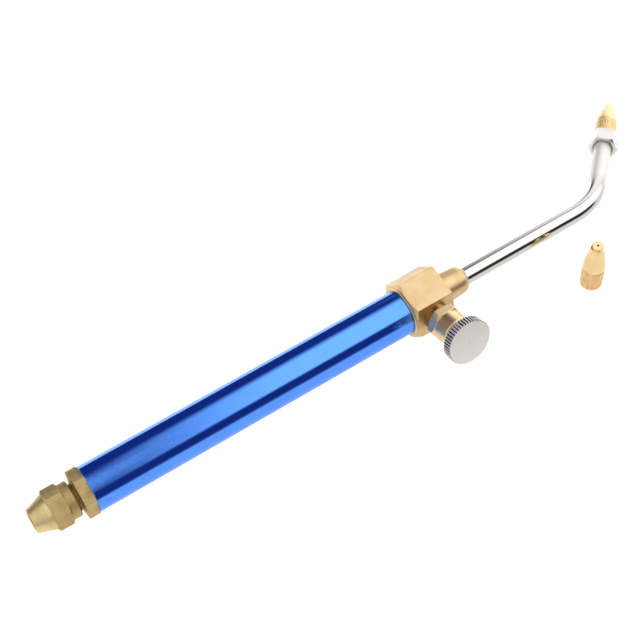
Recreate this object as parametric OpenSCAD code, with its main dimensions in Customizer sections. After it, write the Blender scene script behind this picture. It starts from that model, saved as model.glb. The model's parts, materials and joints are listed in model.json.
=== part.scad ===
// Lampwork torch with a straight handle, a side needle valve and a bent neck.
// Drawn lying along X: tube rear end at x = 0, knob on -Y, neck bending to +Y.
// rest_pose() then turns it the way it lies on a bench, with the bench at z = 0.

/* [Handle] */
// outside diameter of the handle tube
handle_d = 16; // [13:0.5:20]
// wall of the handle tube
handle_wall = 1; // [0.8:0.1:1.5]
// length of the handle tube
handle_len = 120.4; // [80:0.2:180]

/* [Rear plug and hose nut] */
// across the flats of the plug's hexagon
plug_af = 14.5; // [12:0.1:18]
// thickness of the plug's hexagon
plug_hex_len = 3.8; // [2.5:0.1:7]
// turn of the plug's hexagon about the handle's axis
plug_turn = 17; // [0:1:59]
// bare thread showing between the plug and the hose nut
plug_gap = 1.3; // [0.5:0.1:3]
// diameter of the plug's outer thread
plug_thread_d = 9.8; // [8.6:0.1:10.4]
// length of the round collar on the hose nut
nut_collar_len = 2.9; // [1.5:0.1:5]
// across the flats of the hose nut
nut_af = 12.4; // [12:0.1:16]
// length of the hose nut's hexagon
nut_hex_len = 5.8; // [4.5:0.1:9]
// turn of the hose nut's hexagon about the handle's axis
nut_turn = 17; // [0:1:59]
// length of the hose nut's tapered end
nut_cone_len = 6; // [5.5:0.1:9]
// diameter of the tapered end
nut_end_d = 8.2; // [7.6:0.1:10]
// outside diameter of the hose that the nut takes
hose_d = 6; // [5:0.1:6.2]

/* [Valve body] */
// across the flats of the body's hexagon
body_af = 19.5; // [18:0.1:26]
// length of the body's hexagon
body_hex_len = 14.9; // [12:0.1:22]
// length of the tapered front boss
boss_len = 10.5; // [8:0.1:16]
// diameter of the front boss at its root
boss_root_d = 10.9; // [9.5:0.1:14]
// diameter of the front boss at its mouth
boss_mouth_d = 7.8; // [7.2:0.1:9]

/* [Valve] */
// diameter of the bonnet's round flange
bonnet_d = 9.8; // [9:0.1:11]
// height of the bonnet's flange above the body
bonnet_len = 3.4; // [2.5:0.1:6]
// across the flats of the gland nut
gland_af = 11.5; // [10.8:0.1:14]
// height of the gland nut's hexagon
gland_hex_len = 3.6; // [2.5:0.1:6]
// turn of the gland nut's hexagon about the valve axis
gland_turn = 57; // [0:1:59]
// diameter of the gland nut's round collar
gland_collar_d = 11.4; // [10.4:0.1:14]
// height of the gland nut's round collar
gland_collar_len = 5.9; // [5.6:0.1:9]
// diameter of the valve stem
stem_d = 4; // [3.4:0.1:4.4]
// diameter of the knob over its teeth
knob_d = 16.7; // [12:0.1:26]
// thickness of the knob's rim
knob_len = 3.3; // [2.5:0.1:6]
// number of teeth around the knob
knob_teeth = 50; // [30:1:70]

/* [Neck] */
// outside diameter of the neck tube
neck_d = 6.35; // [5:0.05:6.6]
// wall of the neck tube
neck_wall = 0.8; // [0.5:0.1:1.2]
// straight neck from the boss mouth to the bend
neck_straight = 49.2; // [20:0.2:90]
// radius of the bend at the tube's centre
bend_r = 24; // [12:0.5:40]
// angle of the bend
bend_angle = 44; // [15:1:75]
// straight neck from the bend to the nozzle holder
neck_upper = 24; // [10:0.2:60]

/* [Nozzle] */
// across the flats of the nozzle holder
holder_af = 9.7; // [9.2:0.1:13]
// length of the nozzle holder's hexagon
holder_len = 7; // [6:0.1:12]
// turn of the holder's hexagon about its own axis
holder_turn = 42; // [0:1:59]
// length of the holder's outer thread
spigot_len = 6.2; // [5:0.1:8]
// diameter of the holder's outer thread
spigot_d = 5; // [4.4:0.1:5.4]
// length of a nozzle
nozzle_len = 20.3; // [17:0.1:30]
// largest diameter of a nozzle
nozzle_d = 8; // [7.4:0.1:10]
// diameter of the fitted nozzle's end
nozzle_end_d = 3.7; // [3.2:0.1:5]
// diameter of the spare nozzle's end
spare_end_d = 4.2; // [3.2:0.1:5]
// diameter of the flame hole
flame_hole_d = 0.8; // [0.5:0.1:1.6]
// how far the spare nozzle stands along the torch
spare_x = 187.7; // [150:0.1:240]
// how far the spare nozzle stands to the knob's side
spare_y = -20.6; // [-60:0.1:-18]

/* [Fits] */
// gap all round a thread or a turning fit
turn_gap = 0.06; // [0.03:0.01:0.1]
// gap all round parts that are screwed or soldered up tight
tight_gap = 0.05; // [0.02:0.01:0.1]
// gap between faces that meet
face_gap = 0.03; // [0.02:0.01:0.1]

/* [Rest pose] */
// height of the knob's axis above level, as an angle
rest_roll = 15.11; // [0:0.01:40]
// how far the handle's rear end drops, as an angle
rest_tilt = 1.14; // [0:0.01:4]
// shift along X that centres the object
rest_x = -115.2; // [-200:0.05:0]
// shift along Y that centres the object
rest_y = -6.4; // [-60:0.05:60]
// shift along Z that sets the object on the bench
rest_z = 8.46; // [0:0.01:30]

/* [Hidden] */
$fn = 72;
eps = 0.01;
handle_r = handle_d / 2;
bore_r = handle_r - handle_wall;
plug_r = bore_r - tight_gap;
ring_cord = 1.4;
ring_seat = ring_cord - 0.02;
ring_len = 2;
plug_spigot = 10;
body_spigot = 12;
plug_thread_r = plug_thread_d / 2;
nut_x = -plug_hex_len - plug_gap;
nut_r = nut_af / 2;
nut_hex_x = nut_x - nut_collar_len;
nut_cone_x = nut_hex_x - nut_hex_len;
nut_end_x = nut_cone_x - nut_cone_len;
nut_bore_r = plug_thread_r + turn_gap;
hose_hole_r = hose_d / 2 + tight_gap;
nut_mouth_len = 2.9;
seat_x0 = nut_x - nut_collar_len - nut_hex_len + 1.6;
seat_x1 = nut_end_x + nut_mouth_len;
plug_thread_x = seat_x0 + 1.4;
nipple_x = seat_x1 + 0.5;
ferrule_x0 = seat_x1 + 1.5;
ferrule_x1 = plug_thread_x - 0.25;
ferrule_gap = 0.15;
body_x = handle_len;
valve_x = body_x + body_hex_len / 2;
boss_x = body_x + body_hex_len;
mouth_x = boss_x + boss_len;
body_r = body_af / 2;
bonnet_y = body_r + face_gap;
gland_y = bonnet_y + bonnet_len + 0.15;
gland_hex_y = gland_y + gland_hex_len;
gland_top_y = gland_hex_y + gland_collar_len;
gland_wall = 1.3;
bonnet_screw_r = 3.9;
bonnet_top_r = 4.2;
bonnet_top_y = gland_top_y - gland_wall - 2.9;
stem_r = stem_d / 2;
ring_room_r = stem_r + 0.8;
ring_room_y0 = bonnet_y + bonnet_len - 0.6;
stem_ring_y = ring_room_y0 + 1.2;
chamber_y = 4.4;
seat_y = 2.6;
seat_r = 0.9;
knob_hub_r = 4.3;
knob_hub_y = gland_top_y + 0.4;
knob_y0 = 25.2 + (gland_top_y - 22.73);
knob_y1 = knob_y0 + knob_len;
stem_end_y = knob_y1 - 1.2;
neck_r = neck_d / 2;
neck_in = 7.5;
neck_x0 = mouth_x - neck_in;
bend_x = mouth_x + neck_straight;
neck_cup = 4.2;
bend_ease = 0.02;
bend_lap = 1;
holder_r = holder_af / 2;
washer_len = 0.5;
nozzle_base = holder_len + washer_len + 2 * face_gap;
nozzle_r = nozzle_d / 2;

// sub-parts in assembly order

brass = "#c9a254";
steel = "#c8c8cc";
rubber = "#202022";

// ---- frames ----

module rest_pose() {
  translate([rest_x, rest_y, rest_z]) rotate([0, -rest_tilt, 0]) rotate([-rest_roll, 0, 0]) children();
}

// turns a profile drawn as [radius, distance] about the handle's axis
module lathe_x(points) {
  rotate([0, 90, 0]) rotate_extrude() polygon(points);
}

// carries +Z of its children to the valve's outward axis
module valve_axis() {
  translate([valve_x, 0, 0]) rotate([90, 0, 0]) children();
}

// carries +Z of its children to the neck's upper axis, from the holder's rear face
module neck_axis() {
  translate([bend_x + bend_r * sin(bend_angle), bend_r * (1 - cos(bend_angle)), 0])
    rotate([0, 0, bend_angle]) rotate([0, 90, 0]) translate([0, 0, neck_upper]) children();
}

module hexagon(af, len) {
  cylinder(d = af / cos(30), h = len, $fn = 6);
}

// hexagon with turned corners; low and high say which ends are cut
module turned_hex(af, len, low, high) {
  rc = af / 2 / cos(30);
  drop = (rc - af / 2 * 0.985) * tan(30);
  intersection() {
    hexagon(af, len);
    rotate_extrude() polygon([
      [0, 0],
      [low ? af / 2 * 0.985 : rc + 0.5, 0],
      [rc + (low ? 0 : 0.5), low ? drop : 0],
      [rc + (high ? 0 : 0.5), high ? len - drop : len],
      [high ? af / 2 * 0.985 : rc + 0.5, len],
      [0, len]
    ]);
  }
}

module o_ring(mid_r, cord) {
  rotate_extrude() translate([mid_r, 0]) circle(d = cord, $fn = 24);
}

// ---- handle ----

module handle_tube() {
  c = 0.25;
  color("#1b5be0") rest_pose() lathe_x([
    [bore_r, c],
    [bore_r + c, 0],
    [handle_r - c, 0],
    [handle_r, c],
    [handle_r, handle_len - c],
    [handle_r - c, handle_len],
    [bore_r + c, handle_len],
    [bore_r, handle_len - c]
  ]);
}

module rear_plug() {
  groove_r = bore_r - ring_cord;
  color(brass) rest_pose() difference() {
    union() {
      translate([-plug_hex_len, 0, 0]) rotate([0, 90, 0]) rotate([0, 0, plug_turn])
        hexagon(plug_af, plug_hex_len - face_gap);
      lathe_x([
        [0, -plug_hex_len / 2],
        [plug_r, -plug_hex_len / 2],
        [plug_r, 4],
        [groove_r, 4],
        [groove_r, 4 + ring_len],
        [plug_r, 4 + ring_len],
        [plug_r, plug_spigot - 0.5],
        [plug_r - 0.5, plug_spigot],
        [0, plug_spigot]
      ]);
      lathe_x([
        [0, nipple_x],
        [1.5, nipple_x],
        [2.1, nipple_x + 1.2],
        [1.7, nipple_x + 1.25],
        [2.1, nipple_x + 2.4],
        [1.9, nipple_x + 2.45],
        [1.9, plug_thread_x],
        [plug_thread_r - 0.4, plug_thread_x],
        [plug_thread_r, plug_thread_x + 0.4],
        [plug_thread_r, -plug_hex_len / 2],
        [0, -plug_hex_len / 2]
      ]);
    }
    translate([nipple_x - 1, 0, 0]) rotate([0, 90, 0]) cylinder(r = 1.1, h = plug_spigot - nipple_x + 2);
    translate([plug_spigot - 5, 0, 0]) rotate([0, 90, 0]) cylinder(r = 3.2, h = 6);
  }
}

module plug_o_ring() {
  color(rubber) rest_pose() translate([4 + ring_len / 2, 0, 0]) rotate([0, 90, 0])
    o_ring(bore_r - ring_cord / 2, ring_seat);
}

module hose_ferrule() {
  slope = (nut_bore_r - hose_hole_r) / (seat_x0 - seat_x1);
  color(brass) rest_pose() lathe_x([
    [hose_hole_r, ferrule_x0],
    [nut_bore_r - (seat_x0 - ferrule_x0) * slope - ferrule_gap, ferrule_x0],
    [nut_bore_r - ferrule_gap, seat_x0],
    [nut_bore_r - ferrule_gap, ferrule_x1],
    [hose_hole_r, ferrule_x1]
  ]);
}

module hose_nut() {
  color(brass) rest_pose() difference() {
    union() {
      lathe_x([
        [0, nut_end_x],
        [nut_end_d / 2 - 0.3, nut_end_x],
        [nut_end_d / 2, nut_end_x + 0.3],
        [nut_r, nut_cone_x],
        [nut_r, nut_x - 0.4],
        [nut_r - 0.4, nut_x],
        [0, nut_x]
      ]);
      translate([nut_cone_x, 0, 0]) rotate([0, 90, 0]) rotate([0, 0, nut_turn])
        turned_hex(nut_af, nut_hex_len, true, true);
    }
    lathe_x([
      [0, nut_end_x - 1],
      [hose_hole_r, nut_end_x - 1],
      [hose_hole_r, seat_x1],
      [nut_bore_r, seat_x0],
      [nut_bore_r, nut_x + 1],
      [0, nut_x + 1]
    ]);
  }
}

// ---- valve body ----

module body_o_ring() {
  color(rubber) rest_pose() translate([body_x - 8 + ring_len / 2, 0, 0]) rotate([0, 90, 0])
    o_ring(bore_r - ring_cord / 2, ring_seat);
}

module valve_body() {
  groove_r = bore_r - ring_cord;
  color(brass) rest_pose() difference() {
    union() {
      translate([body_x + face_gap, 0, 0]) rotate([0, 90, 0])
        turned_hex(body_af, body_hex_len - face_gap, true, false);
      lathe_x([
        [0, body_x - body_spigot],
        [plug_r - 0.5, body_x - body_spigot],
        [plug_r, body_x - body_spigot + 0.5],
        [plug_r, body_x - 8],
        [groove_r, body_x - 8],
        [groove_r, body_x - 8 + ring_len],
        [plug_r, body_x - 8 + ring_len],
        [plug_r, body_x + 1],
        [0, body_x + 1]
      ]);
      lathe_x([
        [0, boss_x - 1],
        [boss_root_d / 2, boss_x - 1],
        [boss_root_d / 2, boss_x],
        [boss_root_d / 2 - 0.5, mouth_x - 2],
        [boss_root_d / 2 - 0.72, mouth_x - 1],
        [boss_mouth_d / 2 + 0.4, mouth_x - 0.28],
        [boss_mouth_d / 2, mouth_x],
        [0, mouth_x]
      ]);
    }
    // inlet from the handle to the valve chamber
    translate([body_x - body_spigot - 1, -seat_y - 0.9, 0]) rotate([0, 90, 0])
      cylinder(r = 0.85, h = valve_x - body_x + body_spigot + 0.4);
    // chamber, seat and bonnet thread on the valve's axis
    valve_axis() {
      cylinder(r = seat_r, h = body_r);
      translate([0, 0, seat_y]) cylinder(r = 2.2, h = body_r);
      translate([0, 0, chamber_y]) cylinder(r = bonnet_screw_r + tight_gap, h = body_r);
    }
    // outlet to the neck
    translate([valve_x - 1.2, 0, 0]) rotate([0, 90, 0]) cylinder(r = 1.2, h = mouth_x - valve_x);
    translate([neck_x0 - face_gap, 0, 0]) rotate([0, 90, 0])
      cylinder(r = neck_r + tight_gap, h = neck_in + 2);
  }
}

// ---- needle valve ----

module valve_bonnet() {
  color(brass) rest_pose() valve_axis() rotate_extrude() polygon([
    [stem_r + turn_gap, chamber_y + 0.1],
    [bonnet_screw_r, chamber_y + 0.1],
    [bonnet_screw_r, bonnet_y],
    [bonnet_d / 2, bonnet_y],
    [bonnet_d / 2, bonnet_y + bonnet_len - 0.3],
    [bonnet_d / 2 - 0.3, bonnet_y + bonnet_len],
    [bonnet_top_r, bonnet_y + bonnet_len],
    [bonnet_top_r, bonnet_top_y],
    [ring_room_r, bonnet_top_y],
    [ring_room_r, ring_room_y0],
    [stem_r + turn_gap, ring_room_y0]
  ]);
}

module packing_ring() {
  color("#e9e6dc") rest_pose() valve_axis() translate([0, 0, bonnet_top_y + face_gap]) difference() {
    cylinder(r = bonnet_top_r - 0.05, h = 2);
    translate([0, 0, -1]) cylinder(r = stem_r + turn_gap, h = 4);
  }
}

module packing_washer() {
  color(brass) rest_pose() valve_axis() translate([0, 0, bonnet_top_y + 2 + 2 * face_gap]) difference() {
    cylinder(r = bonnet_top_r - 0.05, h = 0.7);
    translate([0, 0, -1]) cylinder(r = stem_r + turn_gap, h = 3);
  }
}

module gland_nut() {
  color(brass) rest_pose() valve_axis() difference() {
    union() {
      translate([0, 0, gland_y]) rotate([0, 0, gland_turn]) turned_hex(gland_af, gland_hex_len, true, true);
      translate([0, 0, gland_y + 1]) cylinder(d = gland_collar_d, h = gland_hex_len + gland_collar_len - 1.4);
      translate([0, 0, gland_top_y - 0.4 - eps])
        cylinder(d1 = gland_collar_d, d2 = gland_collar_d - 0.8, h = 0.4 + eps);
    }
    translate([0, 0, gland_y - 1])
      cylinder(r = bonnet_top_r + tight_gap, h = gland_top_y - gland_wall - gland_y + 1);
    cylinder(r = stem_r + turn_gap, h = gland_top_y + 1);
  }
}

module stem_o_ring() {
  color(rubber) rest_pose() valve_axis() translate([0, 0, stem_ring_y]) o_ring(stem_r + 0.27, 1.02);
}

module valve_stem() {
  color(steel) rest_pose() valve_axis() rotate_extrude() polygon([
    [0, 1.1],
    [0.3, 1.2],
    [seat_r - 0.02, seat_y],
    [1.2, seat_y + 0.7],
    [1.2, chamber_y + 0.4],
    [stem_r, chamber_y + 1],
    [stem_r, stem_ring_y - 0.7],
    [stem_r - 0.26, stem_ring_y - 0.7],
    [stem_r - 0.26, stem_ring_y + 0.7],
    [stem_r, stem_ring_y + 0.7],
    [stem_r, stem_end_y - 0.3],
    [stem_r - 0.3, stem_end_y],
    [0, stem_end_y]
  ]);
}

module knob() {
  color(steel) rest_pose() valve_axis() difference() {
    union() {
      rotate_extrude() polygon([
        [0, knob_hub_y],
        [knob_hub_r, knob_hub_y],
        [knob_hub_r, knob_y0],
        [knob_d / 2 - 0.3, knob_y0],
        [knob_d / 2, knob_y0 + 0.3],
        [knob_d / 2, knob_y1 - 0.3],
        [knob_d / 2 - 0.3, knob_y1],
        [0, knob_y1]
      ]);
    }
    for (i = [1:knob_teeth]) rotate([0, 0, i * 360 / knob_teeth]) translate([knob_d / 2, 0, knob_y0 - 1])
      cylinder(r = 0.35, h = knob_len + 2, $fn = 4);
    translate([0, 0, knob_hub_y - 1])
      cylinder(r = stem_r + tight_gap, h = stem_end_y - knob_hub_y + 1 + face_gap);
    translate([0, 0, knob_hub_y + 1.05]) rotate([0, 90, 0]) cylinder(r = 0.85, h = knob_hub_r + 1);
  }
}

module knob_grub_screw() {
  color(steel) rest_pose() valve_axis() translate([0, 0, knob_hub_y + 1.05]) rotate([0, 90, 0]) difference() {
    translate([0, 0, stem_r + 0.06]) cylinder(r = 0.8, h = knob_hub_r - stem_r - 0.2);
    translate([0, 0, knob_hub_r - 0.9]) hexagon(0.8, 2);
  }
}

// ---- neck ----

// the neck's path as a solid rod of radius r, longer than the tube by more at each end;
// the bend is drawn bend_ease thinner and laps bend_lap degrees into both straight stretches
module neck_rod(r, more) {
  translate([neck_x0 - more, 0, 0]) rotate([0, 90, 0]) cylinder(r = r, h = bend_x - neck_x0 + more);
  translate([bend_x, bend_r, 0]) rotate([0, 0, -90]) {
    rotate([0, 0, -bend_lap]) rotate_extrude(angle = bend_angle + 2 * bend_lap)
      translate([bend_r, 0]) circle(r = r - bend_ease);
    rotate([0, 0, bend_angle]) translate([bend_r, 0, 0]) rotate([-90, 0, 0])
      cylinder(r = r, h = neck_upper + neck_cup + more);
  }
}

module neck_tube() {
  color(steel) rest_pose() difference() {
    neck_rod(neck_r, 0);
    neck_rod(neck_r - neck_wall, 1);
  }
}

module neck_solder() {
  color("#b9b6ae") rest_pose() lathe_x([
    [neck_r + 0.02, mouth_x + 0.02],
    [boss_mouth_d / 2 - 0.05, mouth_x + 0.02],
    [boss_mouth_d / 2 - 0.2, mouth_x + 0.32],
    [neck_r + 0.12, mouth_x + 0.8],
    [neck_r + 0.02, mouth_x + 0.8]
  ]);
}

// ---- nozzle ----

module nozzle_holder() {
  color(steel) rest_pose() neck_axis() difference() {
    union() {
      rotate([0, 0, holder_turn]) turned_hex(holder_af, holder_len, true, true);
      translate([0, 0, 1]) cylinder(d = spigot_d, h = holder_len + spigot_len - 1.4);
      translate([0, 0, holder_len + spigot_len - 0.4 - eps])
        cylinder(d1 = spigot_d, d2 = spigot_d - 0.8, h = 0.4 + eps);
    }
    translate([0, 0, -1]) cylinder(r = neck_r + tight_gap, h = neck_cup + 1 + face_gap);
    translate([0, 0, -eps]) cylinder(r1 = neck_r + 0.8, r2 = neck_r + tight_gap, h = 0.6);
    translate([0, 0, neck_cup - 1]) cylinder(r = 0.9, h = holder_len + spigot_len);
    translate([0, 0, holder_len + spigot_len - 3]) cylinder(r = 1.3, h = 4);
  }
}

module gas_jet() {
  jet_z = holder_len + spigot_len - 3 + face_gap;
  color(brass) rest_pose() neck_axis() translate([0, 0, jet_z]) difference() {
    cylinder(r = 1.25, h = 2.6);
    translate([0, 0, -1]) cylinder(r = 0.7, h = 2.6);
    translate([0, 0, 1]) cylinder(r = 0.2, h = 3);
  }
}

module nozzle_washer() {
  color("#b06a3c") rest_pose() neck_axis() translate([0, 0, holder_len + face_gap]) difference() {
    cylinder(r = nozzle_r - 0.25, h = washer_len);
    translate([0, 0, -1]) cylinder(r = spigot_d / 2 + turn_gap, h = 3);
  }
}

// nozzle standing on its base at the origin
module nozzle_shape(end_d) {
  end_r = end_d / 2;
  band = nozzle_len * 0.44;
  difference() {
    rotate_extrude() polygon([
      [0, 0],
      [nozzle_r - 0.65, 0],
      [nozzle_r - 0.1, 0.6],
      [nozzle_r - 0.02, 1.2],
      [nozzle_r, band - 0.15],
      [nozzle_r - 0.12, band],
      [nozzle_r - 0.02, band + 0.15],
      [nozzle_r - 0.1, band + 1.6],
      [nozzle_r - 0.45, band + 4],
      [end_r + (nozzle_r - end_r) * 0.42, nozzle_len - 3.9],
      [end_r + 0.14, nozzle_len - 1.15],
      [end_r - 0.28, nozzle_len - 1],
      [end_r - 0.28, nozzle_len - 0.7],
      [end_r - 0.04, nozzle_len - 0.6],
      [end_r - 0.04, nozzle_len - 0.15],
      [end_r - 0.2, nozzle_len],
      [0, nozzle_len]
    ]);
    translate([0, 0, -1]) cylinder(r = spigot_d / 2 + turn_gap, h = spigot_len + 1.8);
    cylinder(r = 1.1, h = nozzle_len - 2.2);
    cylinder(d = flame_hole_d, h = nozzle_len + 1);
  }
}

module nozzle() {
  color(brass) rest_pose() neck_axis() translate([0, 0, nozzle_base]) nozzle_shape(nozzle_end_d);
}

module spare_nozzle() {
  color(brass) translate([rest_x + spare_x, rest_y + spare_y, 0]) nozzle_shape(spare_end_d);
}

// ---- assembly ----

handle_tube();
rear_plug();
plug_o_ring();
hose_ferrule();
hose_nut();
body_o_ring();
valve_body();
valve_bonnet();
packing_ring();
packing_washer();
gland_nut();
stem_o_ring();
valve_stem();
knob();
knob_grub_screw();
neck_tube();
neck_solder();
nozzle_holder();
gas_jet();
nozzle_washer();
nozzle();
spare_nozzle();
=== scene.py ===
import json
import math

import bmesh
import bpy
from mathutils import Matrix, Vector


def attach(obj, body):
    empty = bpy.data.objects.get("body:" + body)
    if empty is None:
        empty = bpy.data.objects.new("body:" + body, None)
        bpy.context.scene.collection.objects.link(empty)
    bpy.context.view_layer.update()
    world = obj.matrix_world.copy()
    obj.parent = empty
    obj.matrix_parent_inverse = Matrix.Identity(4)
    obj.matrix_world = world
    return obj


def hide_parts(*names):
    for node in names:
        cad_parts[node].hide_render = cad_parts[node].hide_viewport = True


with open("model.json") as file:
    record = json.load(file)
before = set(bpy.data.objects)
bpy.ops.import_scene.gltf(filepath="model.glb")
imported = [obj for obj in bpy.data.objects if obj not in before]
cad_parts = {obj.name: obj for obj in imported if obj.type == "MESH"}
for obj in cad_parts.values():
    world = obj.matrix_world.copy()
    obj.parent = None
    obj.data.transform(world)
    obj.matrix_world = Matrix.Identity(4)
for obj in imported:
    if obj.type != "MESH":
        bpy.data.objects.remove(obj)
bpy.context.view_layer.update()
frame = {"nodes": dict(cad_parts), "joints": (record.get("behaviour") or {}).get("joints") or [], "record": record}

# ---- Bench and light ----
# The torch lies on a pale light table under one broad softbox that leans towards its front.
# The rest of the room is dim, which gives polished metal its dark lengthwise lines.


def srgb(code):
    """A colour written as sRGB hex, as linear red, green, blue and a full alpha."""
    parts = [int(code[i:i + 2], 16) / 255 for i in (1, 3, 5)]
    return tuple(c / 12.92 if c <= 0.04045 else ((c + 0.055) / 1.055) ** 2.4 for c in parts) + (1.0,)


def add_node(tree, kind, inputs=None, **settings):
    """Adds a node, sets its settings, and sets or links its inputs. A node given for an input
    is linked from the first output that it has in use."""
    made = tree.nodes.new(kind)
    for name, value in settings.items():
        setattr(made, name, value)
    for socket, value in (inputs or {}).items():
        if isinstance(value, bpy.types.Node):
            value = next(s for s in value.outputs if s.enabled)
        if isinstance(value, bpy.types.NodeSocket):
            tree.links.new(value, made.inputs[socket])
        else:
            made.inputs[socket].default_value = value
    return made


softbox_glow = 1.85
room_glow = 0.045
world = bpy.data.worlds.new("studio")
world.use_nodes = True
bpy.context.scene.world = world
sky = world.node_tree
sky.nodes.clear()
way = add_node(sky, "ShaderNodeTexCoord").outputs["Generated"]
axes = add_node(sky, "ShaderNodeSeparateXYZ", {0: way})
near_y = add_node(sky, "ShaderNodeMath", {0: axes.outputs["Y"], 1: -1.0}, operation="MULTIPLY")
lift = add_node(sky, "ShaderNodeMath", {0: axes.outputs["Z"], 1: near_y}, operation="ARCTAN2")
near_edge = add_node(sky, "ShaderNodeMapRange", {
    "Value": lift, "From Min": math.radians(28), "From Max": math.radians(40)},
    interpolation_type="SMOOTHSTEP")
wider = add_node(sky, "ShaderNodeMapRange", {
    "Value": axes.outputs["X"], "From Min": 0.33, "From Max": 0.46, "To Max": math.radians(8)})
drawn_in = add_node(sky, "ShaderNodeMath", {0: lift, 1: wider}, operation="SUBTRACT")
far_edge = add_node(sky, "ShaderNodeMapRange", {
    "Value": drawn_in, "From Min": math.radians(134), "From Max": math.radians(104)},
    interpolation_type="SMOOTHSTEP")
rear_edge = add_node(sky, "ShaderNodeMapRange", {
    "Value": axes.outputs["X"], "From Min": 0.05, "From Max": 0.28}, interpolation_type="SMOOTHSTEP")
window = add_node(sky, "ShaderNodeMath", {0: near_edge, 1: far_edge}, operation="MULTIPLY")
window = add_node(sky, "ShaderNodeMath", {0: window, 1: rear_edge}, operation="MULTIPLY")
light = add_node(sky, "ShaderNodeMath", {0: window, 1: softbox_glow}, operation="MULTIPLY")
# three white cards round the softbox, each given by the direction of its middle, the cosines at
# which it starts and is full, and its glow
for middle, start, full, glow in (
        ((0.78, 0.58, 0.25), 0.84, 0.94, 1.5), ((0.98, -0.12, 0.15), 0.91, 0.97, 1.3),
        ((-0.62, -0.20, 0.76), 0.50, 0.85, 1.15)):
    near = add_node(sky, "ShaderNodeVectorMath", {
        0: way, 1: Vector(middle).normalized()}, operation="DOT_PRODUCT")
    card = add_node(sky, "ShaderNodeMapRange", {
        "Value": near, "From Min": start, "From Max": full, "To Max": glow},
        interpolation_type="SMOOTHSTEP")
    light = add_node(sky, "ShaderNodeMath", {0: light, 1: card}, operation="MAXIMUM")
light = add_node(sky, "ShaderNodeMath", {0: light, 1: room_glow}, operation="ADD")
lit = add_node(sky, "ShaderNodeBackground", {"Color": srgb("#fffefb"), "Strength": light})
plain = add_node(sky, "ShaderNodeBackground", {"Color": srgb("#ffffff"), "Strength": 1.0})
seen = add_node(sky, "ShaderNodeLightPath").outputs["Is Camera Ray"]
shown = add_node(sky, "ShaderNodeMixShader", {0: seen, 1: lit, 2: plain})
add_node(sky, "ShaderNodeOutputWorld", {0: shown})
bpy.context.scene.view_settings.view_transform = "Standard"

# the bench glows plain white to the eye; mirrored in the metal, it is brighter past the torch and
# fades out at its near end
half_table = 0.8
near_glow = 1.03
far_glow = 1.6
seen_glow = 1.2
table_paint = bpy.data.materials.new("light_table_film")
table_paint.use_nodes = True
film = table_paint.node_tree
table_shader = film.nodes["Principled BSDF"]
table_shader.inputs["Base Color"].default_value = srgb("#6a6a6a")
table_shader.inputs["Roughness"].default_value = 0.9
table_shader.inputs["Specular IOR Level"].default_value = 0.0
table_shader.inputs["Emission Color"].default_value = srgb("#fffcf7")
spot = add_node(film, "ShaderNodeSeparateXYZ", {0: add_node(film, "ShaderNodeTexCoord").outputs["Object"]})
beyond = add_node(film, "ShaderNodeMapRange", {
    "Value": spot.outputs["Y"], "From Min": -0.01, "From Max": 0.05, "To Min": near_glow,
    "To Max": far_glow})
near_end = add_node(film, "ShaderNodeMapRange", {
    "Value": spot.outputs["Y"], "From Min": -0.16, "From Max": -0.06}, interpolation_type="SMOOTHSTEP")
glow = add_node(film, "ShaderNodeMath", {0: beyond, 1: near_end}, operation="MULTIPLY")
straight = add_node(film, "ShaderNodeLightPath").outputs["Is Camera Ray"]
bright = add_node(film, "ShaderNodeMath", {0: straight, 1: seen_glow}, operation="MULTIPLY")
glow = add_node(film, "ShaderNodeMath", {0: glow, 1: bright}, operation="MAXIMUM")
film.links.new(glow.outputs[0], table_shader.inputs["Emission Strength"])
table_mesh = bpy.data.meshes.new("table")
table_mesh.from_pydata(
    [(-half_table, -half_table, 0), (half_table, -half_table, 0),
     (half_table, half_table, 0), (-half_table, half_table, 0)], [], [(0, 1, 2, 3)])
table = bpy.data.objects.new("table", table_mesh)
table.data.materials.append(table_paint)
bpy.context.scene.collection.objects.link(table)

camera_data = bpy.data.cameras.new("camera")
camera_data.sensor_width = 36
camera_data.lens = 77.37
camera_data.clip_start = 0.01
camera_data.clip_end = 10
camera = bpy.data.objects.new("camera", camera_data)
camera.location = (-0.16797, -0.23514, 0.37978)
camera.rotation_euler = (math.radians(37.522), math.radians(1.507), math.radians(-33.513))
bpy.context.scene.collection.objects.link(camera)
bpy.context.scene.camera = camera

# ---- Handle tube ----
# A length of drawn aluminium tube, polished and then dyed blue in the anodising bath.
# The film keeps the polish, so the tube mirrors the room, and fine specks sit in the dye.

MM = 0.001
mounts = {m["name"]: m for m in frame["record"]["mounts"]}
joints = {j["name"]: j for j in frame["joints"]}


def place(origin, along, side):
    """A frame in millimetres whose Z runs along and whose Y is as near side as it can be."""
    z = along.normalized()
    x = side.cross(z).normalized()
    turn = Matrix((x, z.cross(x), z)).transposed().to_4x4()
    return Matrix.Translation(origin) @ turn @ Matrix.Scale(MM, 4)


tube_len = 120.4
tube_r = 8.0
tube_bore_r = 7.0
handle_way = Vector(mounts["handle_grip"]["axis"]).normalized()
valve_way = Vector(joints["valve_turn"]["axis"]).normalized()
up_way = handle_way.cross(-valve_way)
tube_end = Vector(mounts["handle_grip"]["pos_m"]) - handle_way * tube_len / 2 * MM
handle_frame = place(tube_end, handle_way, -valve_way)


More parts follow.
